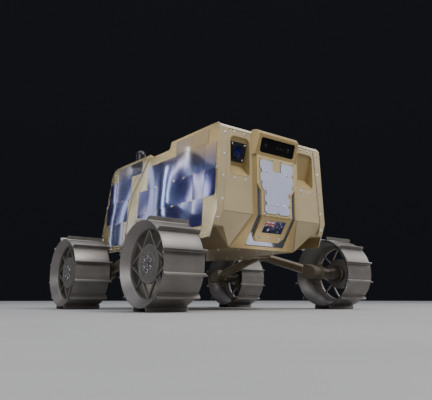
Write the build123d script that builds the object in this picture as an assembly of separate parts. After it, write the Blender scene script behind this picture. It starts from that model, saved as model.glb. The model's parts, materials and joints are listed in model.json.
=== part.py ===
from build123d import *
import math
import os

# Small four-wheeled planetary rover prototype, in millimetres.
# +Z is up, the front faces -Y, +X is the rover's left, and the ground is z = 0.
# Heights of the body are written from the front crease, stations from the front face.

# Rounds that neither turn in a bore nor take a bolt are prisms this close to the true round
round_tolerance = 0.25

# Wheels
rim_radius = 110.0
rim_wall = 4.0
rim_edge = 1.5
wheel_width = 125.0
wheel_reach = 185.5
lug_height = 12.5
lug_thickness = 4.0
lug_count = 12
lug_end_radius = 9.0
lug_end_angles = (0.0, 45.0, 90.0)
lug_seat = 0.5
spoke_plane_recess = 22.0
spoke_ring_radius = 87.0
spoke_ring_seat = 1.5
spoke_depth = 8.0
spoke_width = 5.0
hub_disc_radius = 50.0
hub_socket_depth = 5.0
spoke_node_angles = (45.0, 135.0, 225.0, 315.0)
spoke_fan = (-45.0, 0.0, 45.0)
wheelbase = 514.0

# Wheel drives and suspension
shaft_radius = 8.0
shaft_running_gap = 0.3
drive_radius = 20.0
drive_ring_radius = 27.0
drive_ring_width = 7.0
drive_end_gap = 6.0
knuckle_radius = 21.0
knuckle_length = 38.0
knuckle_back = 34.0
knuckle_flange_radius = 25.0
knuckle_flange_width = 9.0
knuckle_lug_radius = 7.0
knuckle_lug_reach = 27.0
leg_reach = 25.5
leg_radius = 15.0
pivot_drop = 4.0
pivot_station = 330.0
pivot_radius = 21.0
pivot_reach = 42.5
pivot_cap_radius = 11.0
pivot_cap_length = 6.0
pivot_base_size = (96.0, 40.0)
pivot_base_corner = 8.0
pivot_base_rise = 9.0
pivot_base_thickness = 4.0

# Body
belly_clearance = 176.0
keel_depth = 91.0
body_half_width = 221.5
side_lean = 0.058
wall = 4.0
side_plate_thickness = 3.0
rear_panel_thickness = 2.0
crease_to_bay_top = 252.0
crease_to_deck = 228.0
top_bevel = 12.0
bay_length = 248.0
bay_step_run = 8.0
lower_facet_run = 57.0
belly_half_width = 132.5
keel_root_half_width = 180.0
channel_height = -38.0
mid_block_half_length = 95.0
mid_block_half_width = 205.0
side_plate_low = -71.0
side_plate_lip = 3.0
side_plate_foot_station = 29.0
side_plate_rear_margin = 4.0
rear_crease_inset = 6.0
rear_top_station = 632.0
rear_shoulder_station = 646.0
rear_shoulder_height = 205.0
rear_corner_station = 690.0
rear_corner_height = -45.0
belly_rear_station = 622.0
lid_split_height = 200.0
seam = 0.2

# Rear side panel: its slanted front seam as (station, height), then its raised rear top edge
rear_panel_seam = ((374.0, 237.0), (476.0, 120.0), (497.0, 55.0), (508.0, -71.0))
rear_panel_lip = 14.0
rear_panel_top_end = 604.0
rear_panel_margin = 5.0

# Front centre section
bezel_proud = 6.0
bezel_foot = 1.5
bezel_half_width = 91.5
bezel_face_half_width = 81.0
slot_half_width = 77.0
slot_inner_half_width = 63.0
slot_top_outer = 89.0
slot_top_inner = 71.0
slot_depth = 3.5
slot_insert_thickness = 1.0
slot_bottom_margin = 9.5
slot_ring_gap = 2.0
slot_overlap = 1.0
waist_margin = 1.0
frame_plate_half_width = 79.0
frame_plate_shoulder = 92.0
frame_plate_thickness = 3.0
tongue_half_width = 61.0
tongue_top_gap = 0.5
tongue_bottom_margin = 23.5
tongue_corner = 15.0
cover_half_width = 68.5
cover_waist_half_width = 52.5
cover_top = 166.0
cover_bottom = 7.0
cover_thickness = 1.5
scallop_radius = 7.5
scallop_facets = 12
cover_notch_size = (33.0, 30.0)
# The frame plate's screws, where the cover has its notches: half width and height
cover_screws = ((68.5, 169.3), (69.0, 131.5), (68.7, 94.8), (52.5, 67.6), (52.5, 35.3), (52.0, 4.0))
hood_bottom = 178.0
hood_root_half_width = 91.5
hood_face_half_width = 79.0
hood_depth = 31.0
hood_chin_depth = 9.0
hood_brow_depth = 27.0
hood_brow = 13.0
camera_slot_size = (142.0, 44.0)
camera_slot_depth = 8.0
camera_bar_setback = 3.0
camera_slot_centre_height = 208.0

# Sensor windows in the front columns
window_inner_x = 101.0
window_width = 70.5
window_low = 108.0
window_high = 219.0
window_corner = 14.0
recess_lip = 4.0
recess_depth = 26.0
recess_floor_height = 142.0
recess_wall = 2.0
recess_floor_step = 2.0
camera_flange_size = (59.0, 56.0)
camera_flange_thickness = 4.0
camera_flange_corner = 5.0
camera_flange_drop = 41.5
lens_radius = 21.0
lens_front_radius = 20.5
lens_length = 1.5

# Corner strips
strip_top_width = 29.0
strip_low_width = 21.5
strip_foot_width = 19.0
strip_thickness = 1.5

# Deck
deck_bolt_spacing = (220.0, 180.0)
deck_bolt_radius = 2.6
deck_bolt_station = 430.0
dome_radius = 19.0
dome_height = 62.0
dome_edge_margin = 43.5
dome_station = 492.0
dome_foot_radius = 23.0
dome_foot_height = 5.0
dome_facet_angles = (0.0, 30.0, 60.0, 80.0)
block_half_width = 115.0
block_stations = (90.0, 560.0)
block_top = 140.0

# Solar cells: width and height of each kind, then each row's first station, low height, kind and count
cell_gap = 0.6
cell_thickness = 0.8
cell_crop = 4.0
upright_cell = (52.5, 79.0)
lying_cell = (84.0, 47.0)
front_cell_rows = (
    (50.0, 200.0, lying_cell, 2),
    (12.0, 121.0, upright_cell, 7),
    (11.0, 42.0, upright_cell, 8),
    (63.5, -37.0, upright_cell, 7),
)
rear_cell_rows = (
    (421.0, 186.0, lying_cell, 2),
    (489.0, 107.0, upright_cell, 3),
    (500.0, 28.0, upright_cell, 3),
    (519.0, -51.0, upright_cell, 2),
)

# Places worked out from the sizes above
tip_radius = rim_radius + lug_height
half_pitch = math.radians(180.0 / lug_count)
hub_z = tip_radius * math.cos(half_pitch) + lug_thickness / 2 * math.sin(half_pitch)
crease_z = belly_clearance + keel_depth
front_y = -pivot_station
wheel_outer_x = body_half_width + wheel_reach
leg_plane_x = body_half_width + leg_reach
pivot_outer_x = body_half_width + pivot_reach
wheel_inner_x = wheel_outer_x - wheel_width
spoke_plane_x = wheel_outer_x - spoke_plane_recess
hub_back_x = spoke_plane_x - spoke_depth
drive_end_x = hub_back_x - drive_end_gap
hood_top = crease_to_bay_top
slot_bottom_height = slot_bottom_margin - keel_depth
tongue_bottom_height = tongue_bottom_margin - keel_depth
pivot_height = side_plate_low - pivot_drop
pivot_base_height = side_plate_low + pivot_base_rise
knuckle_inner_x = leg_plane_x - knuckle_length / 2
knuckle_outer_x = leg_plane_x + knuckle_length / 2
side_tilt = Vector(1, 0, side_lean).normalized()
span = 2000.0


def at(station, height):
    """Row coordinates of a body station and a height above the crease."""
    return (front_y + station, crease_z + height)


def inner_half_width(height):
    """Half width of the body inside the side plates."""
    return body_half_width - side_plate_thickness * math.hypot(1, side_lean) - side_lean * height


def side_plane(stand_off):
    """Plane of the left side's outer face, moved outward: local x is the station, y the height."""
    origin = Vector(body_half_width, front_y, crease_z) + side_tilt * stand_off
    return Plane(origin=origin, x_dir=(0, 1, 0), z_dir=side_tilt)


def polygon_yz(points):
    """Face in the YZ plane through (station, height) points."""
    return make_face(Polyline(*[(0, *at(*p)) for p in points], close=True))


def polygon_xz(points):
    """Face in the XZ plane through (x, height) points."""
    return make_face(Polyline(*[(x, 0, crease_z + h) for x, h in points], close=True))


def across(face):
    """Solid of a YZ face carried through the whole width."""
    return extrude(face, amount=span, dir=(1, 0, 0), both=True)


def along(face):
    """Solid of an XZ face carried through the whole length."""
    return extrude(face, amount=span, dir=(0, 1, 0), both=True)


def slab(x0, x1, y0, y1, z0, z1):
    """Box between two corners."""
    return Pos((x0 + x1) / 2, (y0 + y1) / 2, (z0 + z1) / 2) * Box(x1 - x0, y1 - y0, z1 - z0)


def mirrored(points):
    """Outline points followed by their mirror images, so that the outline closes."""
    return points + [(-x, h) for x, h in reversed(points)]


def body_profile():
    return polygon_yz([
        (0, 0), (0, crease_to_bay_top - top_bevel), (top_bevel, crease_to_bay_top),
        (bay_length, crease_to_bay_top), (bay_length + bay_step_run, crease_to_deck),
        (rear_top_station, crease_to_deck), (rear_shoulder_station, rear_shoulder_height),
        (rear_corner_station, rear_corner_height), (belly_rear_station, -keel_depth),
        (lower_facet_run, -keel_depth),
    ])


def keel_section():
    high = crease_to_bay_top + wall
    return polygon_xz(mirrored([
        (inner_half_width(high), high), (inner_half_width(channel_height), channel_height),
        (keel_root_half_width, channel_height), (belly_half_width, -keel_depth),
    ]))


def mid_section():
    high = crease_to_bay_top + wall
    return polygon_xz(mirrored([
        (inner_half_width(high), high), (inner_half_width(side_plate_low), side_plate_low),
        (mid_block_half_width, -keel_depth),
    ]))


def enclosure(inset):
    """Body inside the side plates: the keeled length joined to the full-width middle block."""
    profile = offset(body_profile(), -inset, kind=Kind.INTERSECTION) if inset else body_profile()
    keel = offset(keel_section(), -inset, kind=Kind.INTERSECTION) if inset else keel_section()
    middle = offset(mid_section(), -inset, kind=Kind.INTERSECTION) if inset else mid_section()
    half = mid_block_half_length - inset
    keeled = across(profile) & along(keel)
    block = across(profile) & extrude(middle, amount=half, dir=(0, 1, 0), both=True)
    return keeled + block


def facet_plane(low_station, proud):
    """Plane of a lower front facet, from the crease down to the belly's front edge."""
    run = Vector(0, low_station + proud, -keel_depth)
    normal = Vector(0, -keel_depth, -(low_station + proud)).normalized()
    return Plane(origin=(0, front_y - proud, crease_z), x_dir=(1, 0, 0), z_dir=normal), run.length


bezel_facet, bezel_facet_length = facet_plane(lower_facet_run - bezel_foot, bezel_proud)
slope = bezel_facet_length / keel_depth


def front_slots(thickness, sink):
    """Slot form in the bezel: two upright legs and the U round the tongue, sunk below the face."""
    upright = []
    for side in (-1, 1):
        upright.append(polygon_xz([
            (side * slot_half_width, slot_top_outer), (side * slot_inner_half_width, slot_top_inner),
            (side * slot_inner_half_width, -slot_overlap), (side * slot_half_width, -slot_overlap),
        ]))
    face_y = front_y - bezel_proud + sink
    legs = [extrude(Pos(0, face_y, 0) * f, amount=thickness, dir=(0, 1, 0)) for f in upright]
    outer = make_face(Polyline(
        (-slot_half_width, slot_overlap), (slot_half_width, slot_overlap),
        (slot_half_width, slot_bottom_height * slope), (-slot_half_width, slot_bottom_height * slope),
        close=True))
    half = slot_inner_half_width
    low = (tongue_bottom_height - slot_ring_gap) * slope
    inner = make_face(Polyline(
        (-half, 2 * slot_overlap), (half, 2 * slot_overlap),
        (half, low + tongue_corner), (half - tongue_corner, low),
        (-half + tongue_corner, low), (-half, low + tongue_corner), close=True))
    ring = extrude(bezel_facet * Pos(0, 0, -sink) * (outer - inner), amount=-thickness)
    return legs[0] + legs[1] + ring


def window_form(side, grow, front_extra):
    """Sensor window: a wedge behind a rounded opening, side +1 for left and -1 for right."""
    lip = recess_lip + grow
    depth = recess_depth + grow
    wedge = across(polygon_yz([
        (-front_extra, window_low - grow), (-front_extra, window_high + grow), (lip, window_high + grow),
        (depth, recess_floor_height - grow / 2), (depth, recess_floor_height - recess_floor_step - grow),
        (0, window_low - grow),
    ]))
    centre_x = side * (window_inner_x + window_width / 2)
    mouth_plane = Plane(origin=(centre_x, front_y, crease_z + (window_low + window_high) / 2),
                        x_dir=(1, 0, 0), z_dir=(0, 1, 0))
    mouth = mouth_plane * RectangleRounded(window_width + 2 * grow, window_high - window_low + 2 * grow,
                                           window_corner + grow)
    return wedge & extrude(mouth, amount=span / 4, both=True)


def front_fascia(shell):
    piece = shell & slab(-span, span, front_y - span, front_y + lower_facet_run - seam, -span, span)
    piece -= front_slots(slot_depth, 0)
    for side in (-1, 1):
        piece -= window_form(side, recess_wall, 1)
    return piece


def chassis_tub(shell):
    y0 = front_y + lower_facet_run
    y1 = front_y + belly_rear_station
    return shell & slab(-span, span, y0, y1, -span, crease_z + lid_split_height)


def top_deck(shell):
    y0 = front_y + lower_facet_run
    y1 = front_y + belly_rear_station
    piece = shell & slab(-span, span, y0, y1, crease_z + lid_split_height + seam, span)
    holes = Pos(0, front_y + deck_bolt_station, crease_z + crease_to_deck) * GridLocations(
        deck_bolt_spacing[0], deck_bolt_spacing[1], 2, 2)
    for place in holes:
        piece -= place * Cylinder(deck_bolt_radius, 4 * wall)
    return piece


def rear_panel(shell):
    y1 = front_y + belly_rear_station
    return shell & slab(-span, span, y1 + seam, span, -span, span)


def equipment_block():
    """Battery and electronics as one plain block on the tub's floor."""
    y0 = front_y + block_stations[0]
    y1 = front_y + block_stations[1]
    base = crease_z - keel_depth + wall
    return slab(-block_half_width, block_half_width, y0, y1, base, crease_z + block_top)


def side_plate():
    """Flat side sheet with its stepped top edge, standing just above the deck."""
    bay = crease_to_bay_top + side_plate_lip
    deck = crease_to_deck + side_plate_lip
    outline = [
        (top_bevel, bay), (0, bay - top_bevel), (0, 0), (side_plate_foot_station, side_plate_low),
        (rear_corner_station + side_plate_rear_margin, side_plate_low),
        (rear_corner_station - rear_crease_inset, 0), (rear_shoulder_station, rear_shoulder_height),
        (rear_top_station, deck), (bay_length + bay_step_run, deck), (bay_length, bay),
    ]
    face = make_face(Polyline(*outline, close=True))
    return extrude(side_plane(0) * face, amount=-side_plate_thickness)


def rear_side_panel():
    """Sheet laid over the side plate's rear, with a slanted front seam."""
    top = crease_to_deck + rear_panel_lip
    outline = [
        (rear_panel_seam[0][0], top), (rear_panel_top_end, top),
        (rear_top_station + side_plate_lip, crease_to_deck + side_plate_lip),
        (rear_shoulder_station, rear_shoulder_height + rear_panel_margin),
        (rear_corner_station - rear_panel_margin, 0),
        (rear_corner_station + rear_panel_margin, side_plate_low),
    ] + list(reversed(rear_panel_seam))
    face = make_face(Polyline(*outline, close=True))
    return extrude(side_plane(0) * face, amount=rear_panel_thickness)


def solar_cells(rows, stand_off):
    """Cells with cropped corners, a small gap apart, on the side's outer face."""
    cells = []
    for first, low, (width, height), count in rows:
        blank = Rectangle(width - cell_gap, height - cell_gap)
        cell = chamfer(blank.vertices(), cell_crop)
        for index in range(count):
            centre = (first + width * (index + 0.5), low + height / 2)
            cells.append(extrude(side_plane(stand_off) * Pos(*centre) * cell, amount=cell_thickness))
    return Compound(children=cells)


def corner_strip():
    """Screwed strip over the front corner, bent at the crease, its foot ending above the channel."""
    top = crease_to_bay_top - top_bevel
    edge_top = body_half_width - side_lean * top
    edge_low = body_half_width - side_lean * channel_height
    foot = side_plate_foot_station * channel_height / side_plate_low
    bent = across(polygon_yz([
        (-strip_thickness, top), (-strip_thickness, 0), (foot - strip_thickness, channel_height),
        (foot, channel_height), (0, 0), (0, top),
    ]))
    outline = polygon_xz([
        (edge_top, top), (edge_top - strip_top_width, top), (body_half_width - strip_low_width, 0),
        (edge_low - strip_foot_width, channel_height), (edge_low, channel_height), (body_half_width, 0),
    ])
    return bent & along(outline)


def beyond(on_root, on_face, along_edge):
    """Everything outward of a bevel through three points, given as (x, station, height)."""
    a, b, c = (Vector(x, *at(station, height)) for x, station, height in (on_root, on_face, along_edge))
    normal = (b - a).cross(c - a).normalized()
    if normal.X < 0:
        normal = normal * -1
    plane = Plane(origin=a, x_dir=(c - a).normalized(), z_dir=normal)
    return extrude(plane * Rectangle(span, span), amount=span)


def bezel():
    """Proud centre section with bevelled sides, bent at the crease and running out to the belly's edge."""
    sections = (
        (bezel_half_width, 0, hood_bottom, [
            (-bezel_proud, hood_bottom), (-bezel_proud, 0), (0, 0), (0, hood_bottom)]),
        (belly_half_width, lower_facet_run, -keel_depth, [
            (-bezel_proud, 0), (lower_facet_run - bezel_foot, -keel_depth), (lower_facet_run, -keel_depth), (0, 0)]),
    )
    within = slab(-belly_half_width, belly_half_width, -span, span, -span, span)
    halves = []
    for far_half_width, far_station, far_height, outline in sections:
        outside = beyond((bezel_half_width, 0, 0), (bezel_face_half_width, -bezel_proud, 0),
                         (far_half_width, far_station, far_height))
        halves.append((across(polygon_yz(outline)) & within) - outside - mirror(outside, about=Plane.YZ))
    return halves[0] + halves[1] - front_slots(slot_depth, 0)


def frame_plate():
    """Plate that carries the white cover, waisted between the upright slots."""
    half = frame_plate_half_width
    waist = slot_inner_half_width - waist_margin
    outline = polygon_xz(mirrored([
        (half, hood_bottom), (half, frame_plate_shoulder), (waist, slot_top_inner), (waist, 0)]))
    return extrude(Pos(0, front_y - bezel_proud, 0) * outline, amount=frame_plate_thickness, dir=(0, -1, 0))


def tongue_panel():
    half = tongue_half_width
    low = tongue_bottom_height * slope
    face = make_face(Polyline(
        (-half, -tongue_top_gap), (half, -tongue_top_gap),
        (half, low + tongue_corner), (half - tongue_corner, low),
        (-half + tongue_corner, low), (-half, low + tongue_corner), close=True))
    return extrude(bezel_facet * face, amount=frame_plate_thickness)


def scalloped_plate():
    """White cover with round notches where the frame plate's screws are, and a square notch on top."""
    outline = polygon_xz(mirrored([
        (cover_half_width, cover_top), (cover_half_width, cover_screws[2][1]),
        (cover_waist_half_width, cover_screws[3][1]), (cover_waist_half_width, cover_bottom)]))
    seat_y = front_y - bezel_proud - frame_plate_thickness
    cover = extrude(Pos(0, seat_y, 0) * outline, amount=cover_thickness, dir=(0, -1, 0))
    notch_width, notch_height = cover_notch_size
    screws = [(side * x, h) for side in (-1, 1) for x, h in cover_screws]
    screws += [(0, cover_screws[-1][1])]
    screws += [(side * notch_width / 2, cover_screws[0][1]) for side in (-1, 1)]
    scallop = extrude(RegularPolygon(scallop_radius, int(scallop_facets)), amount=2 * cover_thickness, both=True)
    for x, h in screws:
        cover -= Pos(x, seat_y, crease_z + h) * Rot(90, 0, 0) * scallop
    low = crease_z + cover_top - notch_height
    return cover - slab(-notch_width / 2, notch_width / 2, front_y - span, front_y, low, span)


def hood_form():
    """Camera hood with slanted side walls, a leaning face and a bevelled brow."""
    plan = make_face(Polyline(
        (-hood_root_half_width, front_y), (-hood_face_half_width, front_y - hood_depth),
        (hood_face_half_width, front_y - hood_depth), (hood_root_half_width, front_y), close=True))
    column = extrude(Pos(0, 0, crease_z) * plan, amount=span, dir=(0, 0, 1))
    side = across(polygon_yz([
        (0, hood_bottom), (-hood_chin_depth, hood_bottom), (-hood_brow_depth, hood_top - hood_brow),
        (-hood_brow_depth + hood_brow, hood_top), (top_bevel, hood_top), (0, hood_top - top_bevel)]))
    ledge = slab(-span, span, front_y, span, -span, span)
    return column & (side - ledge)


hood_face_angle = math.degrees(math.atan2(
    hood_brow_depth - hood_chin_depth, hood_top - hood_brow - hood_bottom))


def hood_plane(sink):
    """Plane of the hood's leaning face, moved inward."""
    rise = camera_slot_centre_height - hood_bottom
    y = front_y - hood_chin_depth - rise * math.tan(math.radians(hood_face_angle))
    lean = math.radians(hood_face_angle)
    normal = Vector(0, -math.cos(lean), -math.sin(lean))
    origin = Vector(0, y, crease_z + camera_slot_centre_height) - normal * sink
    return Plane(origin=origin, x_dir=(1, 0, 0), z_dir=normal)


def hood():
    slot = extrude(hood_plane(-camera_slot_depth) * Rectangle(*camera_slot_size),
                   amount=-2 * camera_slot_depth)
    return hood_form() - slot


def camera_bar():
    width, height = camera_slot_size
    face = Rectangle(width - seam, height - seam)
    return extrude(hood_plane(camera_slot_depth) * face, amount=camera_slot_depth - camera_bar_setback)


def window_liner(side):
    outer = window_form(side, recess_wall, 0)
    outer &= slab(-span, span, front_y, span, -span, span)
    return outer - window_form(side, 0, 1)


def recess_plane(stand_off):
    """Plane of the right window's leaning back wall, where the camera is bolted."""
    run = recess_depth - recess_lip
    drop = window_high - recess_floor_height
    normal = Vector(0, -drop, -run).normalized()
    down = Vector(0, run, -drop).normalized()
    centre_x = -(window_inner_x + window_width / 2)
    origin = Vector(centre_x, front_y + recess_lip, crease_z + window_high) + down * camera_flange_drop
    return Plane(origin=origin + normal * stand_off, x_dir=(1, 0, 0), z_dir=normal)


def camera_flange():
    face = RectangleRounded(*camera_flange_size, camera_flange_corner)
    return extrude(recess_plane(0) * face, amount=camera_flange_thickness)


def camera_lens():
    """Round lens housing on the flange, narrowing to its front."""
    foot = recess_plane(camera_flange_thickness)
    return frustum(foot, lens_radius, lens_front_radius, lens_length, sides(lens_radius))


def sides(radius):
    """How many sides keep a prism within the tolerance of its round, a multiple of four."""
    return 4 * math.ceil(math.pi / math.acos(1 - round_tolerance / radius) / 4)


def round_face(radius):
    return RegularPolygon(radius, sides(radius))


def x_prism(radius, x0, x1, y=0.0, z=0.0, count=None):
    """Round along X between two places, as a prism."""
    face = RegularPolygon(radius, count or sides(radius))
    return extrude(Plane(origin=(x0, y, z), x_dir=(0, 1, 0), z_dir=(1, 0, 0)) * face, amount=x1 - x0)


def x_cylinder(radius, x0, x1, y=0.0, z=0.0):
    """True round along X between two places, for a shaft and its bore."""
    return Pos((x0 + x1) / 2, y, z) * Rot(0, 90, 0) * Cylinder(radius, x1 - x0)


def frustum(plane, near_radius, far_radius, length, count):
    """Prism that narrows along a plane's normal, from one radius to another, its sides flat."""
    rings = []
    for radius, rise in ((near_radius, 0), (far_radius, length)):
        corners = [Vector(radius, 0, rise).rotate(Axis.Z, 360 * index / count) for index in range(count)]
        rings.append([plane.from_local_coords(corner) for corner in corners])
    near, far = rings
    faces = [Face(Polyline(*ring, close=True)) for ring in rings]
    for index in range(count):
        faces.append(Face(Polyline(near[index - 1], near[index], far[index], far[index - 1], close=True)))
    return Solid(Shell(faces))


def antenna_dome():
    """Smoked dome on a round foot, its crown in a few bands."""
    y, z = at(dome_station, crease_to_deck)
    bands = [(dome_radius * math.cos(math.radians(a)), dome_radius * math.sin(math.radians(a)))
             for a in dome_facet_angles]
    crown_base = dome_height - bands[-1][1]
    dome = extrude(round_face(dome_foot_radius), amount=dome_foot_height)
    dome += extrude(round_face(dome_radius), amount=crown_base)
    for (radius, low), (next_radius, high) in zip(bands, bands[1:]):
        dome += frustum(Plane.XY.offset(crown_base + low), radius, next_radius, high - low, sides(dome_radius))
    return Pos(dome_edge_margin - body_half_width, y, z) * dome


def hub_y(end):
    """Row Y of an axle: end -1 for the front and +1 for the rear."""
    return end * wheelbase / 2


def pivot_z():
    return crease_z + pivot_height


def pivot_seat_x():
    """Outer face of the side plate at the pivot's height."""
    return body_half_width - side_lean * pivot_height


def pivot_housing():
    """Pivot barrel with its end cap, on a base plate bolted to the side plate."""
    seat = pivot_seat_x() - pivot_base_thickness
    barrel = x_prism(pivot_radius, seat, pivot_outer_x, 0, pivot_z())
    cap = x_prism(pivot_cap_radius, pivot_outer_x, pivot_outer_x + pivot_cap_length, 0, pivot_z())
    base = chamfer(Rectangle(*pivot_base_size).vertices(), pivot_base_corner)
    plate = extrude(side_plane(0) * Pos(pivot_station, pivot_base_height) * base, amount=pivot_base_thickness)
    outside = extrude(side_plane(0) * Pos(pivot_station, 0) * Rectangle(span, span), amount=span)
    return ((barrel + cap) & outside) + plate


def leg_line(end):
    """Start at the pivot, end at the axle and unit direction of a leg."""
    start = Vector(leg_plane_x, 0, pivot_z())
    finish = Vector(leg_plane_x, hub_y(end), hub_z)
    return start, finish, (finish - start).normalized()


def leg(end):
    """Bar from the pivot barrel down to the knuckle's flat back."""
    start, finish, direction = leg_line(end)
    tube_plane = Plane(origin=start, z_dir=direction, x_dir=(1, 0, 0))
    bar = extrude(tube_plane * round_face(leg_radius), amount=(finish - start).length - knuckle_back)
    return bar - x_prism(pivot_radius, leg_plane_x - 2 * leg_radius, leg_plane_x + 2 * leg_radius, 0, pivot_z())


def knuckle_plane(end, x):
    """Plane across the axle, with its local x axis pointing back along the leg."""
    direction = leg_line(end)[2]
    return Plane(origin=(x, hub_y(end), hub_z), x_dir=direction * -1, z_dir=(1, 0, 0))


def flange_face():
    """Round flange with a bolt lug above and below, each lug's corners cut off."""
    lugs = Rectangle(2 * knuckle_lug_radius, 2 * (knuckle_lug_reach + knuckle_lug_radius))
    return round_face(knuckle_flange_radius) + chamfer(lugs.vertices(), knuckle_lug_radius / 2)


def knuckle(end):
    """D-shaped block that takes the leg in its flat back, with the flange that carries the drive."""
    block = round_face(knuckle_radius) + Pos(knuckle_back / 2, 0) * Rectangle(knuckle_back, 2 * knuckle_radius)
    body = extrude(knuckle_plane(end, knuckle_inner_x) * block, amount=knuckle_length)
    return body + extrude(knuckle_plane(end, knuckle_outer_x) * flange_face(), amount=knuckle_flange_width)


def wheel_drive(end):
    """Drive housing inside the wheel, with its end ring and the shaft that the wheel turns on."""
    y = hub_y(end)
    x0 = knuckle_outer_x + knuckle_flange_width
    body = x_prism(drive_radius, x0, drive_end_x - drive_ring_width, y, hub_z)
    body += x_prism(drive_ring_radius, drive_end_x - drive_ring_width, drive_end_x, y, hub_z)
    return body + x_cylinder(shaft_radius, drive_end_x, hub_back_x + hub_socket_depth, y, hub_z)


def wheel_lug():
    """Upright blade across the rim, its two outer corners rounded by a few facets."""
    middle_x = wheel_outer_x - wheel_width / 2
    corner = []
    for angle in lug_end_angles:
        turn = math.radians(angle)
        corner.append((wheel_width / 2 - lug_end_radius * (1 - math.cos(turn)),
                       tip_radius - lug_end_radius * (1 - math.sin(turn))))
    outline = mirrored([(wheel_width / 2, rim_radius - lug_seat)] + corner)
    blade = make_face(Polyline(*[(middle_x + x, 0, r) for x, r in outline], close=True))
    return extrude(blade, amount=lug_thickness / 2, dir=(0, 1, 0), both=True)


def wheel_blank():
    """Wheel about the X axis at the origin: rim with its funnel, ring, spokes, hub disc and lugs."""
    count = sides(rim_radius)
    wheel = x_prism(rim_radius, wheel_inner_x, wheel_outer_x)
    wheel -= x_prism(rim_radius - rim_wall, wheel_inner_x, hub_back_x, count=count)
    wheel -= x_prism(spoke_ring_radius, hub_back_x, wheel_outer_x, count=count)
    mouth = Plane(origin=(wheel_outer_x, 0, 0), x_dir=(0, 1, 0), z_dir=(-1, 0, 0))
    wheel -= frustum(mouth, rim_radius - rim_edge, spoke_ring_radius, spoke_plane_recess, count)
    lug = wheel_lug()
    for index in range(int(lug_count)):
        wheel += Rot((index + 0.5) * 360 / lug_count, 0, 0) * lug
    wheel += x_prism(hub_disc_radius, hub_back_x, spoke_plane_x)
    for node_angle in spoke_node_angles:
        for fan in spoke_fan:
            wheel += spoke(node_angle, node_angle + fan)
    socket_end = hub_back_x + hub_socket_depth + shaft_running_gap
    return wheel - x_cylinder(shaft_radius + shaft_running_gap, 0, socket_end)


def spoke(hub_angle, rim_angle):
    """Straight spoke from the hub disc to the ring, both ends given by their angles."""
    start = Vector(0, hub_disc_radius - spoke_width / 2, 0).rotate(Axis.X, hub_angle)
    finish = Vector(0, spoke_ring_radius + spoke_ring_seat, 0).rotate(Axis.X, rim_angle)
    mid = (start + finish) * 0.5 + Vector(hub_back_x + spoke_depth / 2, 0, 0)
    line = Plane(origin=mid, x_dir=(finish - start).normalized(), z_dir=(1, 0, 0))
    return line * Box((finish - start).length, spoke_width, spoke_depth)


def save(name, shape):
    export_step(shape, os.path.join("parts", name + ".step"))


def build():
    os.makedirs("parts", exist_ok=True)
    shell = enclosure(0) - enclosure(wall)
    save("front_fascia", front_fascia(shell))
    save("chassis_tub", chassis_tub(shell))
    save("top_deck", top_deck(shell))
    save("rear_panel", rear_panel(shell))
    save("equipment_block", equipment_block())
    save("centre_bezel", bezel())
    save("slot_insert", front_slots(slot_insert_thickness, slot_depth - slot_insert_thickness))
    save("frame_plate", frame_plate())
    save("tongue_panel", tongue_panel())
    save("scalloped_plate", scalloped_plate())
    save("camera_hood", hood())
    save("stereo_camera", camera_bar())
    save("camera_flange", camera_flange())
    save("camera_lens", camera_lens())
    save("antenna_dome", antenna_dome())
    blank = wheel_blank()
    for name, flip in (("left", False), ("right", True)):
        side = {
            "window_liner_" + name: window_liner(1),
            "side_plate_" + name: side_plate(),
            "rear_side_panel_" + name: rear_side_panel(),
            "front_solar_cells_" + name: solar_cells(front_cell_rows, 0),
            "rear_solar_cells_" + name: solar_cells(rear_cell_rows, rear_panel_thickness),
            "corner_strip_" + name: corner_strip(),
            "pivot_housing_" + name: pivot_housing(),
        }
        for end_name, end in (("front", -1), ("rear", 1)):
            place = end_name + "_" + name
            side["leg_" + place] = leg(end)
            side["knuckle_" + place] = knuckle(end)
            side["wheel_drive_" + place] = wheel_drive(end)
            side["wheel_" + place] = Pos(0, hub_y(end), hub_z) * blank
        for node, shape in side.items():
            save(node, mirror(shape, about=Plane.YZ) if flip else shape)


build()
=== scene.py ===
import json
from math import atan2, ceil, cos, pi, radians, sin, sqrt, tan, tau

import bmesh
import bpy
from mathutils import Matrix, Vector


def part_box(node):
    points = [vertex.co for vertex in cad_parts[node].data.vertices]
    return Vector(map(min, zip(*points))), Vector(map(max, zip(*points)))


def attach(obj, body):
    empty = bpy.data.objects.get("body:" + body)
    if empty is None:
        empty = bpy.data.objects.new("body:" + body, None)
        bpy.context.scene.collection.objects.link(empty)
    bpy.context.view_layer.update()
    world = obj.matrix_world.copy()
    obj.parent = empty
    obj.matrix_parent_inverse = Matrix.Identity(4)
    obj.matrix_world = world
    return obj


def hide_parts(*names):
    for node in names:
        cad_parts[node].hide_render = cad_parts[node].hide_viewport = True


# Finish of a small planetary rover prototype, in metres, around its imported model.
# +Z is up, the front faces -Y, +X is the rover's left, and the ground is z = 0.

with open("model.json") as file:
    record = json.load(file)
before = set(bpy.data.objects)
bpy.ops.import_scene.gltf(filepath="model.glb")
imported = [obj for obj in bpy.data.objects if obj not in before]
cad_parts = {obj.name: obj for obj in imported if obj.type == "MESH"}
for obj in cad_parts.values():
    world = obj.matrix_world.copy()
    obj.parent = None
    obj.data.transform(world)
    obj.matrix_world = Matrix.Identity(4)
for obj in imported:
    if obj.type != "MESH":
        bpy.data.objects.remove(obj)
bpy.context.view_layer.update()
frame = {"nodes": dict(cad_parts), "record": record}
scene = bpy.context.scene

MM = 0.001
SLOT_OF = {part["node"]: part["material_slot"] for part in frame["record"]["subparts"]}
SIDES = (("left", 1), ("right", -1))
ENDS = (("front", -1), ("rear", 1))
FORWARD = Vector((0, -1, 0))
UPWARD = Vector((0, 0, 1))
# Turns a lathe's axis from X to Z
UPRIGHT = Matrix.Rotation(-pi / 2, 4, "Y")


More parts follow.
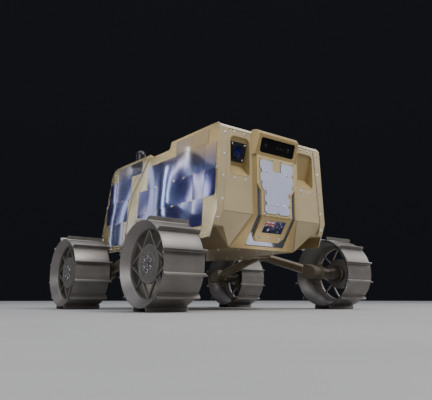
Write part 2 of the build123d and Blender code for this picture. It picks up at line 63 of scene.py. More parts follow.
def middle_of(node):
    return [(low + high) / 2 for low, high in zip(*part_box(node))]


# Places read from the frame
_, FRAME_FACE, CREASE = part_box("frame_plate")[0]
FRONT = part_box("front_fascia")[0][1]
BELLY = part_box("chassis_tub")[0][2]
COVER_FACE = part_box("scalloped_plate")[0][1]
BAY_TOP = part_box("top_deck")[1][2]
WHEEL_X, AXLE_Y, HUB_Z = middle_of("wheel_rear_left")

# Body sizes that the frame's boxes don't give
SIDE_LEAN = 0.058
HALF_WIDTH = 221.5 * MM
PANEL_PROUD = 2 * MM
FACET_RUN = 57 * MM
BEZEL_PROUD = 6 * MM
BEZEL_FOOT = 1.5 * MM
TONGUE_T = 3 * MM
STRIP_T = 1.5 * MM

# Running gear
LEG_X = middle_of("leg_front_left")[0]
LEG_R = 15 * MM
LEG_START = 12 * MM
COLLAR_R = 1.6 * MM
PIVOT_Z = CREASE - 75 * MM
PIVOT_R = 21 * MM
PIVOT_CAP_R = 11 * MM
PIVOT_CAP_RISE = 6 * MM
PIVOT_OUTER_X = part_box("pivot_housing_left")[1][0] - PIVOT_CAP_RISE
PIVOT_BASE_HEIGHT = -62
PIVOT_BASE_T = 4 * MM
KNUCKLE_R = 21 * MM
KNUCKLE_BACK = 34 * MM
KNUCKLE_HALF = 19 * MM
FLANGE_R = 25 * MM
FLANGE_W = 9 * MM
FLANGE_LUG_R = 7 * MM
FLANGE_LUG_REACH = 27 * MM
DRIVE_R = 20 * MM
DRIVE_RING_R = 27 * MM
DRIVE_RING_W = 7 * MM
RING_SCREWS_R = 24.6 * MM
SHAFT_R = 8 * MM
SHAFT_RUN = 11 * MM

# Wheel, about its own axis, with x from the inner edge to the outer one
WHEEL_WIDTH = 2 * (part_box("wheel_rear_left")[1][0] - WHEEL_X)
RIM_R = 110 * MM
TIP_R = 122.5 * MM
RIM_WALL = 4 * MM
RIM_LIP = 1.6 * MM
RING_R = 87 * MM
SPOKE_RECESS = 22 * MM
SPOKE_DEPTH = 8 * MM
SPOKE_W = 4.4 * MM
SPOKE_FEET = (45, 135, 225, 315)
SPOKE_FAN = (-45, 0, 45)
HUB_R = 50 * MM
# Hub disc from its rim to the shaft's recess: depths from the spokes' face, radii from the hub's
HUB_FACE = ((-0.6, 0), (0, -0.6), (0, -4.2), (-0.8, -5), (-1.6, -5.4), (-1.6, -20), (-1, -20.8),
            (-0.2, -21.6), (-0.2, -43.4), (-0.8, -44), (-3.4, -44.2))
HUB_BOLTS = 6
LUGS = 12
LUG_T = 4 * MM
LUG_FILLET = 2.6 * MM
RIM_STEPS = 144

MATERIALS = {}


def material(name):
    """New node material, as its node tree and its Principled shader."""
    made = bpy.data.materials.new("finish_" + name)
    made.use_nodes = True
    MATERIALS[name] = made
    return made.node_tree, made.node_tree.nodes["Principled BSDF"]


def put(node, **values):
    """Sets a node's inputs and properties by name; an output given as a value is linked."""
    for key, value in values.items():
        name = key.replace("_", " ")
        if name not in node.inputs:
            setattr(node, key, value)
        elif isinstance(value, bpy.types.NodeSocket):
            node.id_data.links.new(value, node.inputs[name])
        else:
            node.inputs[name].default_value = value
    return node


def add(tree, kind, **values):
    return put(tree.nodes.new("ShaderNode" + kind), **values)


def coordinates(tree, scale=(1, 1, 1)):
    """Object coordinates, stretched by a scale."""
    place = add(tree, "TexCoord").outputs["Object"]
    return add(tree, "Mapping", Vector=place, Scale=scale).outputs["Vector"]


def noise(vector, scale, detail=4, roughness=0.6):
    node = add(vector.id_data, "TexNoise", Scale=scale, Detail=detail, Roughness=roughness)
    return put(node, Vector=vector).outputs["Fac"]


def ramp(factor, stops):
    """Colour ramp through (place, colour) stops."""
    node = add(factor.id_data, "ValToRGB")
    while len(node.color_ramp.elements) < len(stops):
        node.color_ramp.elements.new(0.5)
    for element, (place, colour) in zip(node.color_ramp.elements, stops):
        element.position = place
        element.color = (*colour, 1)
    factor.id_data.links.new(factor, node.inputs["Fac"])
    return node.outputs["Color"]


def spread(value, low, high, end="To"):
    """A value from 0 to 1 carried to a range, or with From a range carried to 0 to 1."""
    limits = {end + "_Min": low, end + "_Max": high}
    return add(value.id_data, "MapRange", Value=value, **limits).outputs["Result"]


def calc(first, second, operation="MULTIPLY"):
    """Two values put together; the second may be a plain number."""
    node = add(first.id_data, "Math", operation=operation, Value=first)
    if isinstance(second, bpy.types.NodeSocket):
        first.id_data.links.new(second, node.inputs[1])
    else:
        node.inputs[1].default_value = second
    return node.outputs["Value"]


def bump(height, strength, distance, **under):
    """Normal of a relief, laid over another normal where one is given."""
    node = add(height.id_data, "Bump", Height=height, Strength=strength, Distance=distance, **under)
    return node.outputs["Normal"]


# Depth of the satin and gloss grain, and the slow waves of thin sheet
SATIN_DEPTH = 0.0003
GLOSS_DEPTH = 0.0002
GLOSS_GRAIN = 1200
WAVE_SCALE = 4.5
WAVE_DETAIL = 0.4


def worn(name, low, high, metallic, rough_low, rough_high, grain=900, relief=0.06, patch=14,
         stretch=(1, 1, 1), wave=0, coat=0):
    """Satin finish: two tones in soft patches, uneven gloss, a fine grain, and for thin sheet a slow wave."""
    tree, shader = material(name)
    vector = coordinates(tree, stretch)
    tone = noise(vector, patch, detail=6, roughness=0.55)
    gloss = noise(vector, patch * 3.2, detail=5)
    under = {}
    if wave:
        under["Normal"] = bump(noise(vector, WAVE_SCALE, detail=WAVE_DETAIL), 1, wave)
        put(shader, Coat_Normal=under["Normal"])
    if coat:
        put(shader, Coat_Weight=coat, Coat_Roughness=0.08, Coat_IOR=1.9)
    fine = noise(vector, grain, detail=3)
    put(shader, Base_Color=ramp(tone, ((0.3, low), (0.72, high))), Metallic=metallic,
        Roughness=spread(gloss, rough_low, rough_high), Normal=bump(fine, relief, SATIN_DEPTH, **under))


def smooth(name, low, high, rough, metallic=0, coat=0, patch=60, specular=0.5):
    """Even gloss or satin in two close tones."""
    tree, shader = material(name)
    vector = coordinates(tree)
    tone = noise(vector, patch, detail=3)
    put(shader, Base_Color=ramp(tone, ((0.35, low), (0.65, high))), Metallic=metallic,
        Roughness=spread(tone, rough * 0.8, rough * 1.25), Coat_Weight=coat, Specular_IOR_Level=specular,
        Normal=bump(noise(vector, GLOSS_GRAIN), 0.02, GLOSS_DEPTH))


# Cells: heights between which they turn bronze, stations between which they turn blue again, finger lines
CELL_BRONZE = (CREASE + 0.135, CREASE + 0.205)
CELL_TOP_ROW = (CREASE + 0.185, CREASE + 0.205)
CELL_BRONZE_TONE = (CREASE + 0.12, CREASE + 0.2)
CELL_BLUE = (FRONT + 0.34, FRONT + 0.1)
CELL_FINGERS = 160
FINGER_COLOUR = (0.34, 0.34, 0.46, 1)


def solar_glass():
    """Glossy cells, blue and towards the top front bronze, each with its own tone and tilt."""
    tree, shader = material("solar_cell")
    vector = coordinates(tree)
    parts = add(tree, "SeparateXYZ", Vector=vector).outputs
    island = add(tree, "NewGeometry").outputs["Random Per Island"]
    other = calc(calc(island, 7.31), 1, "MODULO")
    front_top = calc(spread(parts["Z"], *CELL_BRONZE, "From"), spread(parts["Y"], *CELL_BLUE, "From"))
    top_row = calc(spread(parts["Z"], *CELL_TOP_ROW, "From"), 0.55)
    blue = ramp(noise(vector, 4, detail=2), (
        (0.32, (0.024, 0.028, 0.14)), (0.52, (0.05, 0.058, 0.26)), (0.72, (0.1, 0.135, 0.37))))
    bronze = ramp(spread(parts["Z"], *CELL_BRONZE_TONE, "From"), (
        (0, (0.17, 0.11, 0.07)), (1, (0.34, 0.265, 0.165))))
    mixed = add(tree, "Mix", data_type="RGBA", A=blue, B=bronze,
                Factor=calc(front_top, top_row, "MAXIMUM"))
    tone = add(tree, "HueSaturation", Color=mixed.outputs["Result"],
               Value=spread(island, 0.72, 1.28), Hue=spread(other, 0.485, 0.515))
    fingers = add(tree, "TexWave", bands_direction="Y", Scale=CELL_FINGERS, Distortion=0,
                  Vector=vector)
    lines = add(tree, "Mix", data_type="RGBA", A=tone.outputs["Color"], B=FINGER_COLOUR,
                Factor=spread(fingers.outputs["Fac"], 0, 0.14))
    lean = calc(calc(island, 0.5, "SUBTRACT"), parts["Y"])
    nod = calc(calc(other, 0.5, "SUBTRACT"), parts["Z"])
    swell = noise(coordinates(tree, (1, 1, 0.8)), WAVE_SCALE, detail=WAVE_DETAIL)
    relief = bump(calc(swell, calc(lean, nod, "ADD"), "ADD"), 1, 0.01)
    streaky = noise(coordinates(tree, (1, 60, 1.5)), 6)
    put(shader, Base_Color=lines.outputs["Result"], Metallic=0.75, Normal=relief, Coat_Normal=relief,
        Roughness=spread(streaky, 0.05, 0.12), Coat_Weight=1, Coat_Roughness=0.06, Coat_IOR=1.75)


worn("sheet_metal", (0.52, 0.42, 0.25), (0.6, 0.488, 0.3), 0.35, 0.38, 0.5)
worn("gold_metal", (0.42, 0.302, 0.128), (0.49, 0.358, 0.162), 0.5, 0.34, 0.46)
worn("frame_gold", (0.62, 0.475, 0.225), (0.7, 0.545, 0.265), 0.35, 0.34, 0.46)
worn("liner_gold", (0.39, 0.29, 0.132), (0.46, 0.35, 0.168), 0.4, 0.36, 0.48)
# Belly: the gold painted darker, a painted shade under the body
worn("belly_gold_painted_shade", (0.33, 0.245, 0.13), (0.4, 0.3, 0.165), 0.5, 0.4, 0.52)
worn("side_metal", (0.54, 0.43, 0.22), (0.64, 0.52, 0.3), 0.85, 0.16, 0.24,
     relief=0.006, wave=0.006, coat=0.7)
worn("cut_edge", (0.66, 0.66, 0.66), (0.82, 0.82, 0.8), 0.9, 0.28, 0.42)
worn("inner_block", (0.03, 0.03, 0.032), (0.05, 0.05, 0.055), 0, 0.5, 0.7)
smooth("dark_mirror", (0.2, 0.215, 0.29), (0.26, 0.28, 0.37), 0.09, 0.65)
# Darker copy of the dark mirror for the slot's downward faces: painted shade
smooth("mirror_painted_shade", (0.085, 0.09, 0.115), (0.11, 0.118, 0.15), 0.09, 0.65)
worn("white_plate", (0.47, 0.5, 0.66), (0.54, 0.57, 0.73), 0.15, 0.42, 0.55, relief=0.03)
smooth("black_gloss", (0.003, 0.003, 0.003), (0.005, 0.005, 0.006), 0.14, specular=0.1)
smooth("black_plastic", (0.008, 0.008, 0.008), (0.013, 0.013, 0.014), 0.42, specular=0.25)
smooth("lens_glass", (0.003, 0.003, 0.055), (0.005, 0.005, 0.085), 0.14, specular=0.2)
smooth("smoked_dome", (0.022, 0.022, 0.025), (0.032, 0.032, 0.036), 0.16, specular=0.35)
solar_glass()
worn("dark_metal", (0.155, 0.13, 0.095), (0.22, 0.185, 0.135), 0.55, 0.36, 0.52)
worn("leg_metal", (0.2, 0.165, 0.11), (0.27, 0.225, 0.155), 0.55, 0.26, 0.38, stretch=(3, 1, 1))
worn("drive_metal", (0.105, 0.088, 0.064), (0.165, 0.14, 0.105), 0.6, 0.32, 0.48)
worn("wheel_grey", (0.188, 0.175, 0.162), (0.252, 0.235, 0.219), 0.55, 0.32, 0.46,
     grain=650, relief=0.16, patch=18)
# Top bevel of the front: the sheet metal painted lighter, a painted highlight of the light from above
worn("bevel_cream_painted_highlight", (0.7, 0.6, 0.43), (0.78, 0.68, 0.5), 0.3, 0.34, 0.46)
worn("tip_gold", (0.6, 0.35, 0.1), (0.7, 0.42, 0.14), 0.3, 0.36, 0.48)
worn("cream_cap", (0.55, 0.5, 0.38), (0.65, 0.6, 0.47), 0.3, 0.38, 0.5)
smooth("screw_steel", (0.78, 0.78, 0.84), (0.92, 0.92, 0.97), 0.2, 1, patch=300)
smooth("screw_dull", (0.42, 0.44, 0.48), (0.56, 0.58, 0.63), 0.26, 1, patch=300)
# Dark lines and marks: seams, painted shadows along steps and bends, and the painted shade on the white
# cover's edges and outline
smooth("seam_and_painted_shadow", (0.04, 0.03, 0.018), (0.06, 0.045, 0.028), 0.6)
# Near black for screw sockets and the hub's slots: painted shade in recesses
smooth("socket_painted_shade", (0.02, 0.02, 0.02), (0.04, 0.04, 0.04), 0.5)
smooth("flag_navy", (0.01, 0.014, 0.075), (0.014, 0.02, 0.095), 0.4)
smooth("flag_white", (0.66, 0.66, 0.66), (0.74, 0.74, 0.74), 0.4)
smooth("flag_red", (0.5, 0.02, 0.025), (0.6, 0.03, 0.035), 0.4)
smooth("faint_red", (0.07, 0.012, 0.01), (0.12, 0.02, 0.016), 0.15, coat=0.5)
smooth("lens_dot", (0.004, 0.006, 0.075), (0.006, 0.01, 0.11), 0.25, specular=0.2)
smooth("lens_band", (0.001, 0.001, 0.014), (0.002, 0.002, 0.022), 0.16, specular=0.15)


def in_scene(name, data):
    """Object of the scene that holds a mesh, a light or a camera."""
    made = bpy.data.objects.new(name, data)
    scene.collection.objects.link(made)
    return made


def new_object(name, bm, *finishes):
    """Object from a bmesh, with its materials, shaded smooth."""
    mesh = bpy.data.meshes.new(name)
    bm.normal_update()
    bm.to_mesh(mesh)
    bm.free()
    for finish in finishes:
        mesh.materials.append(MATERIALS[finish])
    mesh.polygons.foreach_set("use_smooth", [True] * len(mesh.polygons))
    return in_scene(name, mesh)


def soften(piece, width=0, angle=28):
    """Small rounds on sharp edges, if they have a width, with flat faces kept flat."""
    if width:
        rounds = piece.modifiers.new("Rounds", "BEVEL")
        rounds.width = width
        rounds.segments = 2
        rounds.limit_method = "ANGLE"
        rounds.angle_limit = radians(angle)
        rounds.use_clamp_overlap = True
        rounds.miter_outer = "MITER_ARC"
    even = piece.modifiers.new("Even", "WEIGHTED_NORMAL")
    even.keep_sharp = True
    even.weight = 100


def placed(piece, body, nodes=()):
    """Rides on its body and stands for its nodes."""
    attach(piece, body)
    if nodes:
        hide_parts(*nodes)
    return piece


def instead(name, bm, finishes, node, width=0, angle=28):
    """Chassis piece that stands for a node, with softened edges."""
    piece = new_object(name, bm, *finishes)
    soften(piece, width, angle)
    return placed(piece, "chassis", (node,))


def beside(name, bm, finishes):
    """Chassis piece added to a node, in its slot."""
    return placed(new_object(name, bm, *finishes), "chassis")


def dressed(node, width, finishes=None, choose=None):
    """Clean copy of a node with rounded edges; the faces that are chosen take its second finish."""
    bm = bmesh.new()
    bm.from_mesh(frame["nodes"][node].data)
    bmesh.ops.remove_doubles(bm, verts=bm.verts, dist=0.00001)
    bmesh.ops.dissolve_limit(bm, angle_limit=radians(0.4), verts=bm.verts, edges=bm.edges)
    if choose:
        bm.normal_update()
        for face in bm.faces:
            face.material_index = int(choose(face))
    instead(node + "_dressed", bm, finishes or (SLOT_OF[node],), node, width)


def side_point(side, station, height, proud=0):
    """Point on a side's leaning face, from its station and height in millimetres."""
    x = HALF_WIDTH - SIDE_LEAN * height * MM + proud
    return Vector((side * x, FRONT + station * MM, CREASE + height * MM))


def side_normal(side):
    return Vector((side, 0, SIDE_LEAN)).normalized()


def edge_of_sheet(face):
    """True for the thin cut edges of a side sheet, not for its broad faces."""
    return max(abs(face.normal.dot(side_normal(side))) for side in (-1, 1)) <= 0.9


def top_bevel(face):
    """True for the slanted band along the top of the front, which takes a painted highlight."""
    return face.normal.z > 0.5 and face.normal.y < -0.5


# Faces turned downward, which take a painted shade
def underside(face):
    return face.normal.z < -0.3


def axes(origin, x, y, z):
    """Placement at an origin, with its three axes."""
    return Matrix.Translation(Vector(origin)) @ Matrix((x, y, z)).transposed().to_4x4()


def looking(origin, normal, upward=(0, 0, 1)):
    """Placement whose z axis is a face's normal and whose y axis points as far up as it can."""
    z = Vector(normal).normalized()
    x = Vector(upward).cross(z).normalized()
    return axes(origin, x, z.cross(x), z)


def along_x(origin, direction):
    """Placement whose x axis runs along a direction and whose y axis lies level with it."""
    x = Vector(direction).normalized()
    y = Vector((1, 0, 0)) if abs(x.x) < 0.9 else Vector((0, 1, 0))
    y = (y - x * x.dot(y)).normalized()
    return axes(origin, x, y, x.cross(y))


def around(x, radius, degrees):
    """Point at a radius and an angle about the X axis."""
    angle = radians(degrees)
    return Vector((x, radius * cos(angle), radius * sin(angle)))


def shifted(points, x=0, y=0):
    """Points in millimetres, counted from a place in metres."""
    return [(x + across * MM, y + up * MM) for across, up in points]


def turns(first, last, steps):
    """Even angles from one to another, in degrees, given in radians."""
    return [radians(first + (last - first) * step / steps) for step in range(steps + 1)]


def circle(radius, steps):
    return [Vector((radius * cos(a), radius * sin(a))) for a in turns(0, 360, steps)[:-1]]


def oblong(left, low, right, high):
    return [Vector((left, low)), Vector((right, low)), Vector((right, high)), Vector((left, high))]


def bent(start, corner, finish, steps):
    """Curve that leaves one point for a corner and arrives at another from it."""
    return [start * (1 - t) ** 2 + corner * 2 * t * (1 - t) + finish * t ** 2
            for t in (step / steps for step in range(steps + 1))]


def rounded(corners, steps=5):
    """Outline through (x, y, radius) corners, each turned into an arc."""
    points = []
    for index, (x, y, radius) in enumerate(corners):
        here = Vector((x, y))
        if radius <= 0:
            points.append(here)
            continue
        back = Vector(corners[index - 1][:2]) - here
        ahead = Vector(corners[(index + 1) % len(corners)][:2]) - here
        half = back.angle(ahead) / 2
        reach = min(radius / tan(half), back.length / 2.01, ahead.length / 2.01)
        points += bent(here + back.normalized() * reach, here, here + ahead.normalized() * reach, steps)
    return points


def pad(half_w, half_h, radius, steps=5):
    """Rectangle about the origin with round corners, in millimetres."""
    return rounded([(x * half_w * MM, y * half_h * MM, radius * MM)
                    for x, y in ((-1, -1), (1, -1), (1, 1), (-1, 1))], steps)


def notched(outline, centre, radius, steps=14):
    """Outline, counterclockwise, with a round bite where a circle crosses it twice."""
    centre = Vector(centre)
    crossings = []
    for index, start in enumerate(outline):
        run = outline[(index + 1) % len(outline)] - start
        to_start = start - centre
        a, b = run.length_squared, 2 * run.dot(to_start)
        root = b * b - 4 * a * (to_start.length_squared - radius * radius)
        if root <= 0:
            continue
        for sign in (-1, 1):
            t = (-b + sign * sqrt(root)) / (2 * a)
            if 0 < t < 1:
                crossings.append((index + t, start + run * t))
    (first, entry), (last, leave) = crossings
    kept = [point for index, point in enumerate(outline) if first < index < last]
    if all((point - centre).length < radius for point in kept):
        kept = outline[ceil(last):] + outline[:ceil(first)]
    else:
        entry, leave = leave, entry
    start_angle = atan2(*(entry - centre).yx)
    end_angle = atan2(*(leave - centre).yx)
    if end_angle > start_angle:
        end_angle -= tau
    arc = [centre + Vector((cos(a), sin(a))) * radius
           for a in (start_angle + (end_angle - start_angle) * step / steps for step in range(1, steps))]
    return [leave] + kept + [entry] + arc


def walls(bm, near, far):
    """Faces between two rings of as many corners."""
    after = [*range(1, len(near)), 0]
    return [bm.faces.new((near[k], near[n], far[n], far[k])) for k, n in enumerate(after)]


def lathe(bm, outline, steps, place=Matrix.Identity(4), material_index=0, closed=False):
    """Surface of revolution about the placement's X axis through (x, radius) points."""
    rings = []
    for x, radius in outline:
        spots = circle(radius, steps) if radius > 1e-6 else [(0, 0)]
        rings.append([bm.verts.new(place @ Vector((x, y, z))) for y, z in spots])
    rings = [ring * (steps // len(ring)) for ring in rings]
    for near, far in zip(rings, rings[1:] + (rings[:1] if closed else [])):
        for k, n in enumerate([*range(1, steps), 0]):
            corners = list(dict.fromkeys((near[k], near[n], far[n], far[k])))
            if len(corners) > 2:
                bm.faces.new(corners).material_index = material_index


def plate(bm, outline, low, high, place=Matrix.Identity(4), material_index=0):
    """Flat piece between two heights, its outline in the plane's x and y."""
    bottom = [bm.verts.new(place @ Vector((x, y, low))) for x, y in outline]
    top = [bm.verts.new(place @ Vector((x, y, high))) for x, y in outline]
    faces = [bm.faces.new(bottom[::-1]), bm.faces.new(top)] + walls(bm, bottom, top)
    for face in faces:
        face.material_index = material_index
    return faces


# Screws: heads in shares of their radius and rise, the last ring being the socket's floor
SCREW_R = 3.3 * MM
SCREW_RISE = 1.9 * MM
SOCKET = 1.35 / 3.3
BUTTON_HEAD = ((1, 0), (0.98, 0.3), (0.86, 0.68), (0.66, 0.93), (1.25 * SOCKET, 1), (SOCKET, 0.97),
               (0.95 * SOCKET, 0.35))
CAP_HEAD = ((1, 0), (1, 0.85), (0.9, 1), (0.5, 1), (0.44, 0.94), (0.42, 0.3))
BUTTON_STEPS = 18
CAP_STEPS = 20


def screw_head(bm, place, radius, rise, head=CAP_HEAD, steps=CAP_STEPS, slot=1):
    """Screw head standing on a face; its socket takes the slot after its own, where the socket's painted
    shade goes.
    """
    rings = [[bm.verts.new(place @ Vector((x, y, up * rise))) for x, y in circle(share * radius, steps)]
             for share, up in head]
    for low, high in zip(rings, rings[1:]):
        for face in walls(bm, low, high):
            face.material_index = slot + 1 if high is rings[-1] else slot
    bm.faces.new(rings[-1]).material_index = slot + 1
    bm.faces.new(rings[0][::-1]).material_index = slot


def screws(name, places, scale=1, steel="screw_steel"):
    """One joined piece of button screws, each at a (point, normal)."""
    bm = bmesh.new()
    for point, normal in places:
        place = looking(point, normal, UPWARD if abs(normal.z) < 0.9 else -FORWARD)
        screw_head(bm, place, SCREW_R * scale, SCREW_RISE * scale, BUTTON_HEAD, BUTTON_STEPS, 0)
    placed(new_object(name, bm, steel, "socket_painted_shade"), "chassis")


# Front screws as half width and height above the crease
FRAME_SCREWS = ((68.5, 169.3), (16.5, 169.3), (69, 131.5), (68.7, 94.8), (52.5, 67.6), (52.5, 35.3),
                (52, 4.5), (0, 4.5))
COVER_SCREWS = ((43, 131), (26, 34), (0, 34.6))
COLUMN_SCREWS = ((155.5, 232.5), (116.7, 232), (155.5, 95.3), (116, 95.5))
STRIP_SCREWS = ((191.6, 222), (195.3, 158.5), (199, 96), (202.7, 31))
STRIP_FOOT = (212, -20)
TONGUE_SCREWS = ((44, -57), (0, -57))
# Side screws as station and height
SIDE_SCREWS = ((8, 238), (241, 243), (8, 121), (383, 233), (424, 172), (484, 104), (501, 20),
               (621, 218), (662, 100), (676, -20), (46, -60), (250, -62), (430, -62), (600, -62))
# Stations from which the rear side panel lies under a screw: all the way up, and above a height
PANEL_FROM = 500
HIGH_PANEL_FROM = 380
HIGH_PANEL = 150
# Belly, bay and deck screws as half width and station, rear screws as half width and height
BELLY_SCREWS = ((70, 86), (2, 87), (115, 128), (116, 206), (117, 286), (78, 322),
                (117, 366), (116, 446), (115, 524), (70, 590), (2, 590),
                (168, 274), (187, 274), (168, 320), (187, 320), (168, 375), (187, 375))
BAY_SCREWS = ((190, 24), (190, 96), (190, 168), (190, 238), (64, 24), (64, 238))
DECK_SCREWS = ((192, 270), (192, 345), (192, 430), (192, 515), (192, 612),
               (64, 270), (64, 612))
REAR_SCREWS = ((190, 190), (193, 110), (196, 30), (199, -30), (64, 190), (64, -30))
DECK_DROP = 24 * MM
REAR_TOP = Vector((0, 646, 205))
REAR_FOOT = Vector((0, 690, -45))
ON_MIDDLE = 3

FACET_NORMAL = Vector((0, BELLY - CREASE, BEZEL_FOOT - BEZEL_PROUD - FACET_RUN)).normalized()
STRIP_FOOT_NORMAL = Vector((0, -71, -29)).normalized()


def both_sides(table):
    """Every place of a table right and left, or once where it's on the middle line."""
    return [(side * half, along) for half, along in table for side in ((-1, 1) if half > ON_MIDDLE else (1,))]


def at(x, y, height):
    """Point at a y in metres, its x and its height above the crease in millimetres."""
    return Vector((x * MM, y, CREASE + height * MM))


def tongue_point(x, height):
    """Point on the tongue panel, which lies on the bezel's lower facet."""
    share = height * MM / (BELLY - CREASE)
    y = FRONT - BEZEL_PROUD + share * (FACET_RUN + BEZEL_PROUD - BEZEL_FOOT)
    return at(x, y, height) + FACET_NORMAL * TONGUE_T


def on_front(table, y):
    return [(at(x, y, height), FORWARD) for x, height in both_sides(table)]


def on_level(table, z, normal):
    return [(Vector((x * MM, FRONT + station * MM, z)), normal) for x, station in both_sides(table)]


def body_screws():
    """Screws of the front, the sides, the belly, the bay's roof, the deck and the rear panel."""
    screws("frame_screws", on_front(FRAME_SCREWS, FRAME_FACE), steel="screw_dull")
    places = on_front(COVER_SCREWS, COVER_FACE) + on_front(COLUMN_SCREWS, FRONT)
    places += on_front(STRIP_SCREWS, FRONT - STRIP_T)
    places += [(tongue_point(x, height), FACET_NORMAL) for x, height in both_sides(TONGUE_SCREWS)]
    half, height = STRIP_FOOT
    y = FRONT - STRIP_T - height * MM * STRIP_FOOT_NORMAL.z / STRIP_FOOT_NORMAL.y
    places += [(at(side * half, y, height), STRIP_FOOT_NORMAL) for side in (-1, 1)]
    screws("front_screws", places, scale=1.12)
    places = []
    for _, side in SIDES:
        for station, height in SIDE_SCREWS:
            on_panel = station > PANEL_FROM or (station > HIGH_PANEL_FROM and height > HIGH_PANEL)
            proud = PANEL_PROUD if on_panel else 0
            places.append((side_point(side, station, height, proud), side_normal(side)))
    screws("side_screws", places, scale=1.1)
    screws("belly_screws", on_level(BELLY_SCREWS, BELLY, -UPWARD), scale=0.95)
    places = on_level(BAY_SCREWS, BAY_TOP, UPWARD) + on_level(DECK_SCREWS, BAY_TOP - DECK_DROP, UPWARD)
    down = REAR_FOOT - REAR_TOP
    backward = Vector((0, -down.z, down.y)).normalized()
    for x, height in both_sides(REAR_SCREWS):
        station = REAR_TOP.y + down.y * (height - REAR_TOP.z) / down.z
        places.append((at(x, FRONT + station * MM, height), backward))
    screws("deck_and_rear_screws", places, scale=1.05)


# Drawn lines and dark marks reach a little into their face and stand a little over it
LINE_SINK = -0.05 * MM
LINE_RISE = 0.08 * MM
MARK_RISE = 0.06 * MM
# Front lines as half width and height of both ends, and width: the seam under the top bevel, and painted
# shadows along the crease and along the corner strips' inner edges
FRONT_LINES = ((92.5, 238, 177.5, 238, 1.8), (92.5, 0.5, 199, 0.5, 1.1), (177.8, 239, 199.2, 0.5, 1.2))
BEVEL_SLOT_X = 133
BEVEL_HOLE_X = 151
BEVEL_DROP = 6 * MM
TIP_SHAPE = ((0, 0), (-0.9, 13.5), (-20, 9), (-28, 1), (-28, 0))


def line_on(bm, start, finish, normal, width):
    """Thin strip lying on a face between two points."""
    run = finish - start
    plate(bm, oblong(-width / 2, 0, width / 2, run.length), LINE_SINK, LINE_RISE, looking(start, normal, run))


def seam_lines_and_painted_shadows():
    """Seam under the top bevel; painted shadows along the crease, the corner strips' edges and the bezel's
    lower facet; a slot and a hole in the bevel as flat dark marks; and the rear side panels' tips.
    """
    bm = bmesh.new()
    facet_normal = Vector((0, BELLY - CREASE, -FACET_RUN)).normalized()
    for side in (-1, 1):
        for x, height, far_x, far_height, width in FRONT_LINES:
            line_on(bm, at(side * x, FRONT, height), at(side * far_x, FRONT, far_height), FORWARD, width * MM)
        # Painted shadow along the edge of the bezel's lower facet
        foot = Vector((side * 133.2 * MM, FRONT + FACET_RUN, BELLY))
        line_on(bm, at(side * 92.4, FRONT, 0), foot, facet_normal, 1.4 * MM)
    for x, shape in ((BEVEL_SLOT_X, pad(7, 2, 2)), (BEVEL_HOLE_X, circle(2.1 * MM, 20))):
        middle = (x * MM, FRONT + BEVEL_DROP, BAY_TOP - BEVEL_DROP)
        plate(bm, shape, LINE_SINK, MARK_RISE, looking(middle, FORWARD + UPWARD))
    placed(new_object("front_seam_lines_and_painted_shadows", bm, "seam_and_painted_shadow"), "chassis")
    for name, side in SIDES:
        tip = bmesh.new()
        shape = [(side * x, y) for x, y in shifted(TIP_SHAPE)]
        plate(tip, shape[::side], -1 * MM, 1 * MM, looking(side_point(side, 375, 228), FORWARD))
        soften(beside("rear_side_panel_tip_" + name, tip, ("tip_gold",)), 0.4 * MM)


def wheel_mesh():
    """Whole wheel about X at the origin, its funnel towards +X: rim, lugs, spokes, hub disc and bolts."""
    inner_x = -WHEEL_WIDTH / 2
    outer_x = WHEEL_WIDTH / 2
    plane_x = outer_x - SPOKE_RECESS
    back_x = plane_x - SPOKE_DEPTH
    bore = RIM_R - RIM_WALL
    bm = bmesh.new()
    section = rounded((
        (inner_x, RIM_R, 1.2 * MM), (outer_x, RIM_R, 0.7 * MM), (outer_x, RIM_R - RIM_LIP, 0.7 * MM),
        (plane_x + 3 * MM, RING_R + 1.5 * MM, 6 * MM), (plane_x, RING_R, 1.5 * MM)), steps=4)
    bowl = ((back_x, RING_R), (back_x - 6 * MM, bore), (inner_x + 40 * MM, bore))
    section += bent(*map(Vector, bowl), 12) + [(inner_x, bore)]
    lathe(bm, section, RIM_STEPS, closed=True)
    hub = [(back_x, 0)] + shifted(((0, -1), (1, 0)), back_x, HUB_R)
    hub += shifted(HUB_FACE, plane_x, HUB_R)
    lathe(bm, hub + [(hub[-1][0], 0)], 96)
    lug_foot = RIM_R - 1 * MM
    lug_end = outer_x - 0.4 * MM
    lug = rounded(((inner_x, lug_foot, 0), (lug_end, lug_foot, 0), (lug_end, TIP_R, 9 * MM),
                   (inner_x, TIP_R, 9 * MM)), steps=7)
    for index in range(LUGS):
        angle = (index + 0.5) * tau / LUGS
        faces = plate(bm, lug, -LUG_T / 2, LUG_T / 2, Matrix.Rotation(angle + pi / 2, 4, "X"))
        edges = list(dict.fromkeys(edge for face in faces[:2] for edge in face.edges))
        bmesh.ops.bevel(bm, geom=edges, offset=0.7 * MM, segments=2, affect="EDGES", profile=0.6)
        lug_fillet(bm, Matrix.Rotation(angle, 4, "X"), inner_x, outer_x - 1.5 * MM)
    for foot in SPOKE_FEET:
        for fan in SPOKE_FAN:
            spoke(bm, foot, foot + fan, back_x + 0.4 * MM, plane_x - 0.8 * MM)
    # Slots at the spokes' feet: flat marks in the near black finish, a painted shade
    for foot in SPOKE_FEET:
        place = looking(around(plane_x - 1.55 * MM, 37 * MM, foot), (1, 0, 0), around(0, 1, foot))
        plate(bm, pad(0.9, 6.5, 0.8, 3), -0.4 * MM, 0.05 * MM, place, material_index=2)
    for bolt in range(HUB_BOLTS):
        spot = around(plane_x - 0.2 * MM, 18 * MM, 360 * (bolt + 0.5) / HUB_BOLTS)
        screw_head(bm, looking(spot, (1, 0, 0)), 5 * MM, 3.8 * MM)
    wheel = new_object("wheel_template", bm, "wheel_grey", "screw_steel", "socket_painted_shade")
    soften(wheel)
    return wheel


